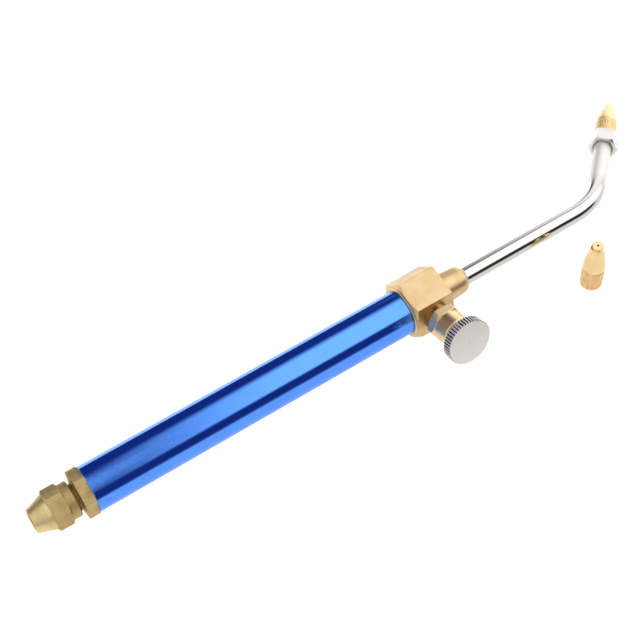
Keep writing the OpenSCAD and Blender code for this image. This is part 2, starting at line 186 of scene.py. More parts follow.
def spin(name, corners, across=0.0, turn=0.0, around=144, step=0.0):
    """Turns a closed outline of (radius, distance, rounding) corners about Z, in around steps. A
    corner with a fourth value of 1 lies on hexagon bar, across wide and turned by turn degrees,
    and there the bar's corners are turned down to the outline. Rows are drawn no further than
    step apart, where step is given."""
    outline = []
    for i, corner in enumerate(corners):
        here = Vector(corner[:2])
        on_bar = len(corner) > 3
        if corner[2] == 0:
            outline.append((here, on_bar))
            continue
        before = Vector(corners[i - 1][:2]) - here
        after = Vector(corners[(i + 1) % len(corners)][:2]) - here
        start = here + before.normalized() * min(corner[2], before.length / 2)
        finish = here + after.normalized() * min(corner[2], after.length / 2)
        for k in range(5):
            t = k / 4
            outline.append((start * (1 - t) ** 2 + here * 2 * t * (1 - t) + finish * t ** 2, on_bar))
    points = []
    for (a, a_bar), (b, b_bar) in zip(outline, outline[1:] + outline[:1]):
        split = 1
        if step and a.x > 0 and b.x > 0:
            split = max(1, math.ceil((b - a).length / step))
        if a_bar and b_bar and abs(a.x - b.x) > 0.01:
            split = max(split, 12)
        points += [(a.lerp(b, k / split), a_bar if k == 0 else a_bar or b_bar) for k in range(split)]

    edge_r = 0.15
    blend = 0.03
    flat = across / 2
    hub = (flat - edge_r) / math.cos(math.radians(30))
    tangent = math.atan2((flat - edge_r) * math.tan(math.radians(30)), max(flat, 0.001))
    if across:
        # degrees from the middle of a flat, closer together round the bar's edge
        offs = [-30, -29.6, -29.2, -28.7, -28] + list(range(-27, 28, 2)) + [28, 28.7, 29.2, 29.6]
        spots = [(math.radians(turn + 30 + 60 * k + d), math.radians(d)) for k in range(6) for d in offs]
    else:
        spots = [(2 * math.pi * k / around, 0.0) for k in range(around)]
    mesh = bmesh.new()
    rings = []
    for point, on_bar in points:
        if point.x < 1e-6:
            rings.append([mesh.verts.new((0, 0, point.y))])
            continue
        ring = []
        for angle, off in spots:
            r = point.x
            if on_bar:
                if abs(off) <= tangent:
                    bar = flat / math.cos(off)
                else:
                    gap = math.radians(30) - abs(off)
                    bar = hub * math.cos(gap) + math.sqrt(edge_r ** 2 - (hub * math.sin(gap)) ** 2)
                least = min(bar, r)
                # the lesser of the two, blended so that a turned chamfer leaves no jagged edge
                mixed = math.exp((least - bar) / blend) + math.exp((least - r) / blend)
                r = least - blend * math.log(mixed)
            ring.append(mesh.verts.new((r * math.cos(angle), r * math.sin(angle), point.y)))
        rings.append(ring)
    for low, high in zip(rings, rings[1:] + rings[:1]):
        for i in range(max(len(low), len(high)) if len(low) + len(high) > 2 else 0):
            j = (i + 1) % max(len(low), len(high))
            face = [low[i % len(low)], low[j % len(low)], high[j % len(high)], high[i % len(high)]]
            mesh.faces.new([v for n, v in enumerate(face) if v not in face[:n]])
    bmesh.ops.recalc_face_normals(mesh, faces=mesh.faces)
    data = bpy.data.meshes.new(name)
    mesh.to_mesh(data)
    mesh.free()
    data.shade_smooth()
    piece = bpy.data.objects.new(name, data)
    bpy.context.scene.collection.objects.link(piece)
    return piece


def settle(piece):
    """Turns a piece's modifiers into its mesh."""
    found = bpy.context.evaluated_depsgraph_get()
    made = bpy.data.meshes.new_from_object(piece.evaluated_get(found), depsgraph=found)
    piece.modifiers.clear()
    piece.data = made


def fit(piece, seat, body, slot_name, paint, *nodes):
    """Puts a piece made in millimetres in its place, gives it its paint and body, and hides the imported nodes
    that it stands for. The slot_name argument is not used.
    """
    weigh = piece.modifiers.new("even_normals", "WEIGHTED_NORMAL")
    weigh.weight = 90
    settle(piece)
    piece.data.transform(seat)
    piece.data.materials.clear()
    piece.data.materials.append(paint)
    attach(piece, body)
    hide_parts(*nodes)


def new_paint(name):
    """A new node material, as the material, its tree and its Principled shader."""
    paint = bpy.data.materials.new(name)
    paint.use_nodes = True
    return paint, paint.node_tree, paint.node_tree.nodes["Principled BSDF"]


def piece_space(tree, seat):
    """Object coordinates turned into a piece's own millimetres, with Z along its axis."""
    return add_node(tree, "ShaderNodeMapping", {
        "Vector": add_node(tree, "ShaderNodeTexCoord").outputs["Object"],
        "Location": seat.translation, "Rotation": seat.to_euler(), "Scale": (MM, MM, MM)},
        vector_type="TEXTURE")


# anodised aluminium: a mirror under clear blue dye, with a little light scattered by the film,
# faint draw lines along it, and specks of dust dark and light, larger than real so as to show
blue, tree, shader = new_paint("blue_anodised_aluminium")
where = piece_space(tree, handle_frame)
axes = add_node(tree, "ShaderNodeSeparateXYZ", {0: where})
grain = add_node(tree, "ShaderNodeVectorMath", {0: where, 1: (3.0, 3.0, 0.03)}, operation="MULTIPLY")
draw_lines = add_node(tree, "ShaderNodeTexNoise", {"Vector": grain, "Scale": 1.0, "Detail": 4.0})
cloud = add_node(tree, "ShaderNodeTexNoise", {"Vector": where, "Scale": 0.12, "Detail": 2.0})
dye = add_node(tree, "ShaderNodeMix", {0: cloud, 6: srgb("#5895f2"), 7: srgb("#629ff6")}, data_type="RGBA")
for spread, widest, narrowest, strength, hue in (
        (0.8, 0.17, 0.05, 0.55, "#1d3f9a"), (0.6, 0.11, 0.03, 0.6, "#b4ceff")):
    specks = add_node(tree, "ShaderNodeTexVoronoi", {"Vector": where, "Scale": spread}, feature="F1")
    size = add_node(tree, "ShaderNodeMapRange", {
        "Value": axes.outputs["Z"], "From Max": tube_len, "To Min": widest, "To Max": narrowest})
    speck = add_node(tree, "ShaderNodeMath", {0: specks, 1: size}, operation="LESS_THAN")
    speck = add_node(tree, "ShaderNodeMath", {0: speck, 1: strength}, operation="MULTIPLY")
    dye = add_node(tree, "ShaderNodeMix", {0: speck, 6: dye.outputs[2], 7: srgb(hue)}, data_type="RGBA")
tree.links.new(dye.outputs[2], shader.inputs["Base Color"])
shader.inputs["Metallic"].default_value = 1.0
gloss = add_node(tree, "ShaderNodeMapRange", {
    "Value": draw_lines, "From Min": 0.3, "From Max": 0.7, "To Min": 0.08, "To Max": 0.13})
tree.links.new(gloss.outputs[0], shader.inputs["Roughness"])
bump = add_node(tree, "ShaderNodeBump", {"Height": draw_lines, "Strength": 0.04, "Distance": 0.00003})
tree.links.new(bump.outputs[0], shader.inputs["Normal"])
film_scatter = add_node(tree, "ShaderNodeBsdfPrincipled", {
    "Base Color": srgb("#0c3ef8"), "Roughness": 0.5, "Specular IOR Level": 0.0})
film_share = 0.17
layers = add_node(tree, "ShaderNodeMixShader", {0: film_share, 1: shader, 2: film_scatter})
tree.links.new(layers.outputs[0], tree.nodes["Material Output"].inputs["Surface"])

rim = 0.25
handle = spin("handle_tube", [
    (tube_bore_r, 0, rim), (tube_r, 0, rim), (tube_r, tube_len, rim), (tube_bore_r, tube_len, rim)],
    around=180)
fit(handle, handle_frame, "torch", "blue_anodised", blue, "handle_tube")

# ---- Rear plug and its ring ----
# Brass turned from hexagon bar: a spigot in the tube, a hexagon, a fine thread and a hose nipple.
# A moulded rubber ring in the spigot's groove grips the tube.

# how many of each mark there are to a millimetre
rings_a_mm = 2.6
lines_a_mm = 1.6
clouds_a_mm = 0.16
pits_a_mm = 0.9


def machined(name, seat, pale, deep, smooth, rough, bar=(0.0, 0.0), stain=0.45, marks=0.08,
             aged=0.0, streaks=0.5):
    """Machined metal: turning rings, lengthwise lines on the bar between its two distances, and
    clouds of tarnish from pale to deep. On the bar there is more tarnish by aged, varied by
    streaks. The marks are drawn coarser than real to be seen."""
    paint, tree, shader = new_paint(name)
    where = piece_space(tree, seat)
    axes = add_node(tree, "ShaderNodeSeparateXYZ", {0: where})
    level = add_node(tree, "ShaderNodeVectorMath", {0: where, 1: (1.0, 1.0, 0.0)}, operation="MULTIPLY")
    radius = add_node(tree, "ShaderNodeVectorMath", {0: level}, operation="LENGTH")
    lathe_way = add_node(tree, "ShaderNodeCombineXYZ", {0: radius, 1: axes.outputs["Z"]})
    rings = add_node(tree, "ShaderNodeTexNoise", {
        "Vector": lathe_way, "Scale": rings_a_mm, "Detail": 5.0, "Roughness": 0.6})
    bar_way = add_node(tree, "ShaderNodeVectorMath", {
        0: where, 1: (lines_a_mm, lines_a_mm, 0.07)}, operation="MULTIPLY")
    lines = add_node(tree, "ShaderNodeTexNoise", {
        "Vector": bar_way, "Scale": 1.0, "Detail": 5.0, "Roughness": 0.6})
    past = add_node(tree, "ShaderNodeMath", {0: axes.outputs["Z"], 1: bar[0]}, operation="GREATER_THAN")
    short = add_node(tree, "ShaderNodeMath", {0: axes.outputs["Z"], 1: bar[1]}, operation="LESS_THAN")
    on_bar = add_node(tree, "ShaderNodeMath", {0: past, 1: short}, operation="MULTIPLY")
    cut = add_node(tree, "ShaderNodeMix", {0: on_bar, 2: rings, 3: lines}, data_type="FLOAT")
    cloud = add_node(tree, "ShaderNodeTexNoise", {
        "Vector": where, "Scale": clouds_a_mm, "Detail": 3.0, "Roughness": 0.5})
    share = add_node(tree, "ShaderNodeMapRange", {
        "Value": cloud, "From Min": 0.35, "From Max": 0.75, "To Max": stain},
        interpolation_type="SMOOTHSTEP")
    pits = add_node(tree, "ShaderNodeTexVoronoi", {"Vector": where, "Scale": pits_a_mm}, feature="F1")
    pit = add_node(tree, "ShaderNodeMapRange", {
        "Value": pits, "From Min": 0.10, "From Max": 0.05, "To Max": 0.25})
    tone = add_node(tree, "ShaderNodeMath", {0: share, 1: pit}, operation="MAXIMUM")
    worn = add_node(tree, "ShaderNodeMapRange", {
        "Value": lines, "From Min": 0.38, "From Max": 0.62, "To Min": aged * (1 - streaks),
        "To Max": aged * (1 + streaks)})
    tone = add_node(tree, "ShaderNodeMath", {
        0: on_bar, 1: worn, 2: tone}, operation="MULTIPLY_ADD", use_clamp=True)
    hue = add_node(tree, "ShaderNodeMix", {0: tone, 6: srgb(pale), 7: srgb(deep)}, data_type="RGBA")
    tree.links.new(hue.outputs[2], shader.inputs["Base Color"])
    shader.inputs["Metallic"].default_value = 1.0
    blur = add_node(tree, "ShaderNodeMath", {0: cut, 1: tone}, operation="ADD")
    gloss = add_node(tree, "ShaderNodeMapRange", {
        "Value": blur, "From Min": 0.35, "From Max": 1.0, "To Min": smooth, "To Max": rough})
    tree.links.new(gloss.outputs[0], shader.inputs["Roughness"])
    bump = add_node(tree, "ShaderNodeBump", {"Height": cut, "Strength": marks, "Distance": 0.00004})
    tree.links.new(bump.outputs[0], shader.inputs["Normal"])
    return paint


def cut_tree():
    """A Geometry Nodes tree that sinks a repeating V notch into a turned piece: a straight
    knurl with many notches to a turn, or a screw thread with one and a pitch."""
    tree = bpy.data.node_groups.new("notches", "GeometryNodeTree")
    tree.interface.new_socket("Geometry", in_out="OUTPUT", socket_type="NodeSocketGeometry")
    tree.interface.new_socket("Geometry", in_out="INPUT", socket_type="NodeSocketGeometry")
    for name in ("Notches a Turn", "Notches a Millimetre", "Depth", "Half Width", "Low", "High",
                 "Least Radius", "Wander"):
        tree.interface.new_socket(name, in_out="INPUT", socket_type="NodeSocketFloat")
    tree.interface.new_socket("Material", in_out="INPUT", socket_type="NodeSocketMaterial")
    given = add_node(tree, "NodeGroupInput").outputs
    spot = add_node(tree, "GeometryNodeInputPosition")
    axes = add_node(tree, "ShaderNodeSeparateXYZ", {0: spot})
    angle = add_node(tree, "ShaderNodeMath", {
        0: axes.outputs["Y"], 1: axes.outputs["X"]}, operation="ARCTAN2")
    turns = add_node(tree, "ShaderNodeMath", {0: angle, 1: 2 * math.pi}, operation="DIVIDE")
    along = add_node(tree, "ShaderNodeMath", {
        0: axes.outputs["Z"], 1: given["Notches a Millimetre"], 2: 0.5}, operation="MULTIPLY_ADD")
    run = add_node(tree, "ShaderNodeMath", {
        0: turns, 1: given["Notches a Turn"], 2: along}, operation="MULTIPLY_ADD")
    phase = add_node(tree, "ShaderNodeMath", {0: run}, operation="FRACT")
    off = add_node(tree, "ShaderNodeMath", {0: phase, 1: 0.5}, operation="SUBTRACT")
    off = add_node(tree, "ShaderNodeMath", {0: off}, operation="ABSOLUTE")
    notch = add_node(tree, "ShaderNodeMapRange", {
        "Value": off, "From Min": given["Half Width"], "From Max": 0.0, "To Max": given["Depth"]})
    level = add_node(tree, "ShaderNodeVectorMath", {0: spot, 1: (1.0, 1.0, 0.0)}, operation="MULTIPLY")
    radius = add_node(tree, "ShaderNodeVectorMath", {0: level}, operation="LENGTH")
    wide = add_node(tree, "ShaderNodeMath", {0: radius, 1: given["Least Radius"]}, operation="GREATER_THAN")
    run_out = 0.35
    low_out = add_node(tree, "ShaderNodeMath", {0: given["Low"], 1: run_out}, operation="ADD")
    low = add_node(tree, "ShaderNodeMapRange", {
        "Value": axes.outputs["Z"], "From Min": given["Low"], "From Max": low_out})
    high_out = add_node(tree, "ShaderNodeMath", {0: given["High"], 1: run_out}, operation="SUBTRACT")
    high = add_node(tree, "ShaderNodeMapRange", {
        "Value": axes.outputs["Z"], "From Min": given["High"], "From Max": high_out})
    patch = add_node(tree, "ShaderNodeTexNoise", {"Vector": spot, "Scale": 0.9, "Detail": 3.0})
    patch = add_node(tree, "ShaderNodeMapRange", {"Value": patch, "From Min": 0.35, "From Max": 0.65})
    kept = add_node(tree, "ShaderNodeMath", {0: patch, 1: given["Wander"]}, operation="MULTIPLY")
    kept = add_node(tree, "ShaderNodeMath", {0: 1.0, 1: kept}, operation="SUBTRACT")
    depth = notch
    for part in (wide, low, high, kept):
        depth = add_node(tree, "ShaderNodeMath", {0: depth, 1: part}, operation="MULTIPLY")
    inward = add_node(tree, "ShaderNodeVectorMath", {0: level}, operation="NORMALIZE")
    shift = add_node(tree, "ShaderNodeMath", {0: depth, 1: -1.0}, operation="MULTIPLY")
    move = add_node(tree, "ShaderNodeVectorMath", {0: inward, "Scale": shift}, operation="SCALE")
    cut = add_node(tree, "GeometryNodeSetPosition", {"Geometry": given["Geometry"], "Offset": move})
    whole = add_node(tree, "GeometryNodeRealizeInstances", {0: cut})
    done = add_node(tree, "GeometryNodeSetMaterial", {"Geometry": whole, "Material": given["Material"]})
    add_node(tree, "NodeGroupOutput", {0: done})
    return tree


def run_tree(piece, tree, **values):
    """Runs a Geometry Nodes tree on a piece, its inputs given by name with spaces as underscores."""
    modifier = piece.modifiers.new(tree.name, "NODES")
    modifier.node_group = tree
    for socket in tree.interface.items_tree:
        key = socket.name.replace(" ", "_")
        if socket.in_out == "INPUT" and key in values:
            modifier[socket.identifier] = values[key]
    settle(piece)


notches = cut_tree()
# handled brass: golden where it was turned, and dulled to tan by hands on the bar's flats
rear_brass = machined(
    "dulled_turned_brass", handle_frame, "#dac694", "#a8905f", 0.38, 0.56, bar=(-13.7, -0.02), stain=0.5,
    aged=0.6, streaks=0.12)
# distances run along the handle from the tube's rear end, and are negative behind it
plug_hex = 14.5
plug_hex_len = 3.8
plug_thread_r = 4.9
plug_thread_end = -10.8
plug_bore_r = 1.1
tail_r = 1.9
barb_r = 2.1
tail_end = -16.4
spigot_r = 6.95
groove_r = 5.6
groove_len = 2.0
plug_groove = 4.0
plug_len = 10.0
thread_pitch = 1.0
notch_width = 0.42
plug = spin("rear_plug", [
    (plug_bore_r, tail_end, 0), (1.5, tail_end, 0.1), (barb_r, tail_end + 1.2, 0.05),
    (1.7, tail_end + 1.25, 0), (barb_r, tail_end + 2.4, 0.05), (tail_r, tail_end + 2.45, 0),
    (tail_r, plug_thread_end, 0), (4.5, plug_thread_end, 0), (plug_thread_r, plug_thread_end + 0.4, 0),
    (plug_thread_r, -plug_hex_len, 0), (6.6, -plug_hex_len, 0), (9.0, -plug_hex_len, 0, 1),
    (9.0, -0.03, 0, 1), (spigot_r, -0.03, 0), (spigot_r, plug_groove, 0), (groove_r, plug_groove, 0),
    (groove_r, plug_groove + groove_len, 0), (spigot_r, plug_groove + groove_len, 0),
    (spigot_r, plug_len - 0.5, 0), (spigot_r - 0.5, plug_len, 0), (3.2, plug_len, 0), (3.2, 5, 0),
    (plug_bore_r, 5, 0)], across=plug_hex, turn=17, step=0.2)
run_tree(
    plug, notches, Notches_a_Turn=1.0, Notches_a_Millimetre=-1 / thread_pitch, Depth=0.5,
    Half_Width=notch_width, Low=plug_thread_end + 0.1, High=-plug_hex_len - 0.1, Least_Radius=4.6,
    Wander=0.0, Material=rear_brass)
fit(plug, handle_frame, "torch", "rear_brass", rear_brass, "rear_plug")


def moulded(name, hue, pale, gloss):
    """Moulded rubber or plastic: an even colour with a faint mottle and a satin surface."""
    paint, tree, shader = new_paint(name)
    where = piece_space(tree, handle_frame)
    mottle = add_node(tree, "ShaderNodeTexNoise", {"Vector": where, "Scale": 2.5, "Detail": 3.0})
    tint = add_node(tree, "ShaderNodeMix", {0: mottle, 6: srgb(hue), 7: srgb(pale)}, data_type="RGBA")
    tree.links.new(tint.outputs[2], shader.inputs["Base Color"])
    shader.inputs["Roughness"].default_value = gloss
    bump = add_node(tree, "ShaderNodeBump", {"Height": mottle, "Strength": 0.1, "Distance": 0.00002})
    tree.links.new(bump.outputs[0], shader.inputs["Normal"])
    return paint


def repaint(node, paint):
    """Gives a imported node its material."""
    for spot in frame["nodes"][node].material_slots:
        spot.material = paint


# nitrile rubber: near black, with a soft sheen where it is squeezed
nitrile = moulded("nitrile_rubber", "#161618", "#232326", 0.5)
repaint("plug_o_ring", nitrile)

# ---- Hose nut and clamping ring ----
# Turned from hexagon bar with a collar and a taper; it screws on to the plug's thread.
# Its ring closes on the hose. The nut has the plug's dull, handled brass.

# the bar's corners are kept out to nut_corner, and turned down by drop to nut_low at both ends
nut_hex = 12.4
nut_corner = 7.16
nut_low = 6.107
nut_rear = -13.8
nut_front = -8.0
nut_end = -19.8
collar_end = -5.1
hose_r = 3.05
thread_r = 4.96
drop = 0.61
nut = spin("hose_nut", [
    (hose_r, nut_end, 0.12), (4.1, nut_end, 0.3), (6.16, nut_rear, 0), (nut_low, nut_rear, 0, 1),
    (nut_corner, nut_rear + drop, 0, 1), (nut_corner, nut_front - drop, 0, 1), (nut_low, nut_front, 0, 1),
    (6.16, nut_front, 0.04), (6.2, collar_end - 0.4, 0.1), (5.8, collar_end, 0.08),
    (thread_r, collar_end, 0.1), (thread_r, -12.2, 0), (hose_r, -16.9, 0)], across=nut_hex, turn=17)
fit(nut, handle_frame, "hose_cap", "rear_brass", rear_brass, "hose_nut")
repaint("hose_ferrule", rear_brass)

# ---- Valve body and its ring ----
# Heavy brass hexagon bar, its rear corners turned off, with a spigot in the tube and a tapered
# boss for the neck. Satin from the cutter and paler than the fittings, with a ring like the plug's.

body_hex = 19.5
body_corner = 11.258
body_low = 9.604
body_rear = 120.43
body_front = 135.3
body_spigot = 108.4
body_groove = 112.4
boss_end = 145.8
neck_socket_r = 3.225
neck_socket_end = 138.27
gas_bore_r = 1.2
gas_bore_start = 126.65
# bar brass: satin from the cutter, lightly clouded, a shade paler than the fittings
body_brass = machined(
    "satin_bar_brass", handle_frame, "#cfb58c", "#c2a574", 0.36, 0.48, bar=(120.4, 135.25), stain=0.4,
    marks=0.04)
body = spin("valve_body", [
    (0, body_spigot, 0), (spigot_r - 0.5, body_spigot, 0.1), (spigot_r, body_spigot + 0.5, 0.1),
    (spigot_r, body_groove, 0), (groove_r, body_groove, 0), (groove_r, body_groove + groove_len, 0),
    (spigot_r, body_groove + groove_len, 0), (spigot_r, body_rear, 0), (body_low, body_rear, 0, 1),
    (body_corner, body_rear + 0.955, 0, 1), (body_corner + 0.4, body_front, 0.12, 1),
    (5.45, body_front, 0.1), (4.95, boss_end - 2.0, 0.4), (4.73, boss_end - 1.0, 0.3),
    (4.3, boss_end - 0.28, 0.2), (3.9, boss_end, 0.1), (neck_socket_r, boss_end, 0.05),
    (neck_socket_r, neck_socket_end, 0), (gas_bore_r, neck_socket_end, 0), (gas_bore_r, gas_bore_start, 0),
    (0, gas_bore_start, 0)], across=body_hex)

# the chamber that the bonnet and the stem's point sit in, crossing the body towards the knob
knob_reach = 26
valve_frame = place(
    Vector(joints["valve_turn"]["pos_m"]) - valve_way * knob_reach * MM, valve_way, up_way)
chamber = spin("chamber", [
    (0, 0, 0), (0.9, 0, 0), (0.9, 2.6, 0), (2.2, 2.6, 0), (2.2, 4.4, 0), (3.95, 4.4, 0), (3.95, 12, 0),
    (0, 12, 0)])
chamber.data.transform(handle_frame.inverted() @ valve_frame)


def bore_out(piece, tool):
    """Cuts a tool's shape out of a piece, and removes the tool."""
    cut = piece.modifiers.new("bore", "BOOLEAN")
    cut.operation = "DIFFERENCE"
    cut.solver = "EXACT"
    cut.object = tool
    settle(piece)
    piece.data.shade_smooth()
    bpy.data.objects.remove(tool)


bore_out(body, chamber)
fit(body, handle_frame, "torch", "body_brass", body_brass, "valve_body")
repaint("body_o_ring", nitrile)

# ---- Bonnet, packing and gland nut ----
# The bonnet screws into the body's side, and the gland nut squeezes a white ring round the stem.
# The nut is bright brass, hexagon bar with a round collar; the bonnet behind it is painted dark brown for the
# shade between the body and the nut.

# newly turned brass: bright and creamy
valve_brass = machined(
    "bright_turned_brass", valve_frame, "#ecd0a4", "#cfa674", 0.32, 0.44, bar=(13.6, 16.6))
# bonnet brass with painted shade: a clouded deep brown standing for the shade that falls between the body and the
# gland nut
shade_darkened_bonnet_brass = machined(
    "oxidised_turned_brass", valve_frame, "#b48c58", "#74552f", 0.30, 0.44, stain=0.8)
stem_clear_r = 2.06
flat_out = 9.78
flange_end = 13.18
bonnet_end = 18.63
bonnet = spin("valve_bonnet", [
    (stem_clear_r, 4.5, 0), (3.9, 4.5, 0.2), (3.9, flat_out, 0), (4.9, flat_out, 0.1),
    (4.9, flange_end, 0.3), (4.2, flange_end, 0), (4.2, bonnet_end, 0.1), (2.8, bonnet_end, 0.1),
    (2.8, 12.58, 0), (stem_clear_r, 12.58, 0)])
fit(bonnet, valve_frame, "torch", "valve_brass", shade_darkened_bonnet_brass, "valve_bonnet")
gland_hex = 11.5
gland_corner = 6.64
gland_low = 5.664
gland_start = 13.33
gland_hex_end = 16.93
gland_end = 22.83
gland_drop = 0.56
gland = spin("gland_nut", [
    (4.25, gland_start, 0.1), (gland_low, gland_start, 0, 1),
    (gland_corner, gland_start + gland_drop, 0, 1), (gland_corner, gland_hex_end - gland_drop, 0, 1),
    (gland_low, gland_hex_end, 0, 1),
    (5.7, gland_hex_end, 0), (5.7, gland_end - 0.4, 0.15), (5.3, gland_end, 0.15),
    (stem_clear_r, gland_end, 0.1), (stem_clear_r, 21.53, 0), (4.25, 21.53, 0)],
    across=gland_hex, turn=57)
fit(gland, valve_frame, "torch", "valve_brass", valve_brass, "gland_nut")
# packing plastic: waxy white, a little see-through at the edges, here only dull
repaint("packing_ring", moulded("packing_plastic", "#dedbd2", "#ebe8e0", 0.42))
repaint("packing_washer", valve_brass)
repaint("stem_o_ring", nitrile)

# ---- Knob, stem and grub screw ----
# A steel needle stem carries a nickel-plated knob, held by a small screw in its hub.
# The face is blasted matt and the rim has a bright straight knurl.

knob_r = 8.35
knob_low = 25.3
knob_high = 28.6
teeth = 50

# nickel plate: a warm grey mirror on the rim, with painted shade making the notches between the teeth near black,
# and blasted to an even matt on the face
nickel, tree, shader = new_paint("nickel_plate")
where = piece_space(tree, valve_frame)
axes = add_node(tree, "ShaderNodeSeparateXYZ", {0: where})
level = add_node(tree, "ShaderNodeVectorMath", {0: where, 1: (1.0, 1.0, 0.0)}, operation="MULTIPLY")
radius = add_node(tree, "ShaderNodeVectorMath", {0: level}, operation="LENGTH")
high = add_node(tree, "ShaderNodeMath", {
    0: axes.outputs["Z"], 1: knob_high - 0.05}, operation="GREATER_THAN")
inner = add_node(tree, "ShaderNodeMath", {0: radius, 1: knob_r - 0.35}, operation="LESS_THAN")
face = add_node(tree, "ShaderNodeMath", {0: high, 1: inner}, operation="MULTIPLY")
fine = add_node(tree, "ShaderNodeTexNoise", {"Vector": where, "Scale": 6.0, "Detail": 4.0})
blotch = add_node(tree, "ShaderNodeTexNoise", {"Vector": where, "Scale": 0.35, "Detail": 3.0})
plate = add_node(tree, "ShaderNodeMix", {
    0: blotch, 6: srgb("#d9d5d5"), 7: srgb("#e3dfde")}, data_type="RGBA")
# painted shade: below the face, the bottoms of the knurl's notches are coloured near black, standing for the shade
# between the teeth
low = add_node(tree, "ShaderNodeMath", {0: axes.outputs["Z"], 1: knob_low}, operation="GREATER_THAN")
deep = add_node(tree, "ShaderNodeMapRange", {
    "Value": radius, "From Min": knob_r - 0.06, "From Max": knob_r - 0.22},
    interpolation_type="SMOOTHSTEP")
outer = add_node(tree, "ShaderNodeMath", {0: radius, 1: knob_r - 0.5}, operation="GREATER_THAN")
painted_notch_shade = add_node(tree, "ShaderNodeMath", {0: deep, 1: outer}, operation="MULTIPLY")
painted_notch_shade = add_node(tree, "ShaderNodeMath", {0: painted_notch_shade, 1: low}, operation="MULTIPLY")
below = add_node(tree, "ShaderNodeMath", {0: 1.0, 1: high}, operation="SUBTRACT")
painted_notch_shade = add_node(tree, "ShaderNodeMath", {0: painted_notch_shade, 1: below}, operation="MULTIPLY")
plate = add_node(tree, "ShaderNodeMix", {0: painted_notch_shade, 6: plate, 7: srgb("#141418")}, data_type="RGBA")
tree.links.new(plate.outputs[2], shader.inputs["Base Color"])
mirror_share = add_node(tree, "ShaderNodeMix", {0: face, 2: 0.7, 3: 0.85}, data_type="FLOAT")
tree.links.new(mirror_share.outputs[0], shader.inputs["Metallic"])
gloss = add_node(tree, "ShaderNodeMix", {0: face, 2: 0.12, 3: 0.46}, data_type="FLOAT")
tree.links.new(gloss.outputs[0], shader.inputs["Roughness"])
grit = add_node(tree, "ShaderNodeMath", {0: fine, 1: face}, operation="MULTIPLY")
bump = add_node(tree, "ShaderNodeBump", {"Height": grit, "Strength": 0.3, "Distance": 0.00003})
tree.links.new(bump.outputs[0], shader.inputs["Normal"])

knob_bore_r = 2.05
hub_r = 4.3
hub_low = 23.23
bore_high = 27.43
knob = spin("knob", [
    (knob_bore_r, hub_low, 0.1), (hub_r, hub_low, 0.3), (hub_r, knob_low, 0.15), (knob_r, knob_low, 0.3),
    (knob_r, knob_high, 0.3), (0.3, knob_high, 0.05), (0, knob_high - 0.18, 0), (0, bore_high, 0),
    (knob_bore_r, bore_high, 0)], around=teeth * 10, step=0.4)
run_tree(
    knob, notches, Notches_a_Turn=float(teeth), Notches_a_Millimetre=0.0, Depth=0.35, Half_Width=0.36,
    Low=knob_low - 0.5, High=knob_high + 0.5, Least_Radius=knob_r - 0.32, Wander=0.0, Material=nickel)
screw_r = 0.85
screw_high = 24.28
screw_hole = spin("screw_hole", [(0, 1.0, 0), (screw_r, 1.0, 0), (screw_r, 6.0, 0), (0, 6.0, 0)], around=48)
screw_hole.data.transform(
    Matrix.Translation((0, 0, screw_high)) @ Matrix.Rotation(math.radians(90), 4, "Y"))
bore_out(knob, screw_hole)
fit(knob, valve_frame, "valve_handle", "nickel", nickel, "knob")
# turned steel: cool grey and bright
steel = machined("turned_steel", valve_frame, "#cfd0d4", "#a9aab0", 0.15, 0.28, stain=0.3)
repaint("valve_stem", steel)
repaint("knob_grub_screw", steel)

# ---- Neck tube and solder ring ----
# Brass tube bent to 44 degrees and plated bright, soldered into the body's boss.
# The solder shows as a thin silvery ring at the boss's mouth.

neck_r = 3.175
neck_bore_r = 2.375
neck_rear = 138.3
bend_start = 195.0
bend_r = 24.0
bend = math.radians(44)
neck_upper = 28.2

# bright plating: a cool mirror with faint dust, turned to a pale satin by heat towards the nozzle
chrome, tree, shader = new_paint("bright_neck_plating")
where = piece_space(tree, handle_frame)
axes = add_node(tree, "ShaderNodeSeparateXYZ", {0: where})
dust = add_node(tree, "ShaderNodeTexNoise", {"Vector": where, "Scale": 0.8, "Detail": 5.0})
heat = add_node(tree, "ShaderNodeMapRange", {
    "Value": axes.outputs["Y"], "From Min": 4.0, "From Max": 11.0}, interpolation_type="SMOOTHSTEP")
sheen = add_node(tree, "ShaderNodeMix", {
    0: dust, 6: srgb("#c9c7c8"), 7: srgb("#c0bec0")}, data_type="RGBA")
sheen = add_node(tree, "ShaderNodeMix", {
    0: heat, 6: sheen.outputs[2], 7: srgb("#e2dfde")}, data_type="RGBA")
tree.links.new(sheen.outputs[2], shader.inputs["Base Color"])
dulled = add_node(tree, "ShaderNodeMix", {0: heat, 2: 1.0, 3: 0.45}, data_type="FLOAT")
tree.links.new(dulled.outputs[0], shader.inputs["Metallic"])
rough = add_node(tree, "ShaderNodeMix", {0: heat, 2: 0.05, 3: 0.42}, data_type="FLOAT")
gloss = add_node(tree, "ShaderNodeMath", {
    0: dust, 1: 0.06, 2: rough.outputs[0]}, operation="MULTIPLY_ADD")
tree.links.new(gloss.outputs[0], shader.inputs["Roughness"])

